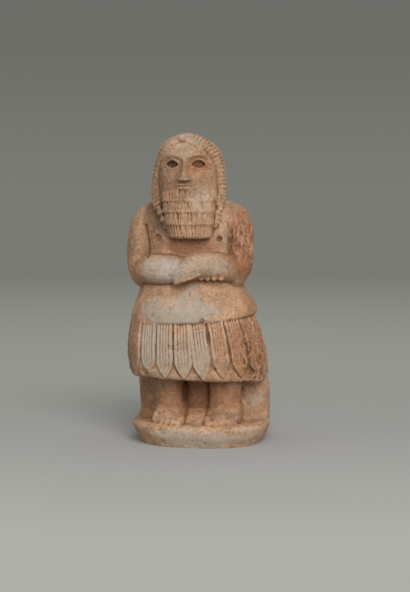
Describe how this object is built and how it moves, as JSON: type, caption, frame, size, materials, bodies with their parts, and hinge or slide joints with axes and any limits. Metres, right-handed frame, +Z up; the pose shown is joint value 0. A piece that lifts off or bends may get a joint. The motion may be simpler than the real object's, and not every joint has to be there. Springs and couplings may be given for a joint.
{
  "type": "stone priest statuette",
  "caption": "Carved stone figure of a standing bearded priest with folded arms and a tongued skirt, made in a single block with a support slab and a flat-bottomed plinth.",
  "frame": {"origin": "centre of the plinth's flat underside", "axes": "+Z up through the standing figure, which faces -Y; +X is at the figure's left hand"},
  "size_m": [0.099, 0.0839, 0.2105],
  "materials": {
    "alabaster": "matt, worn and patchy from burial"
  },
  "bodies": {
    "root": {"statuette": "alabaster"}
  },
  "joints": []
}
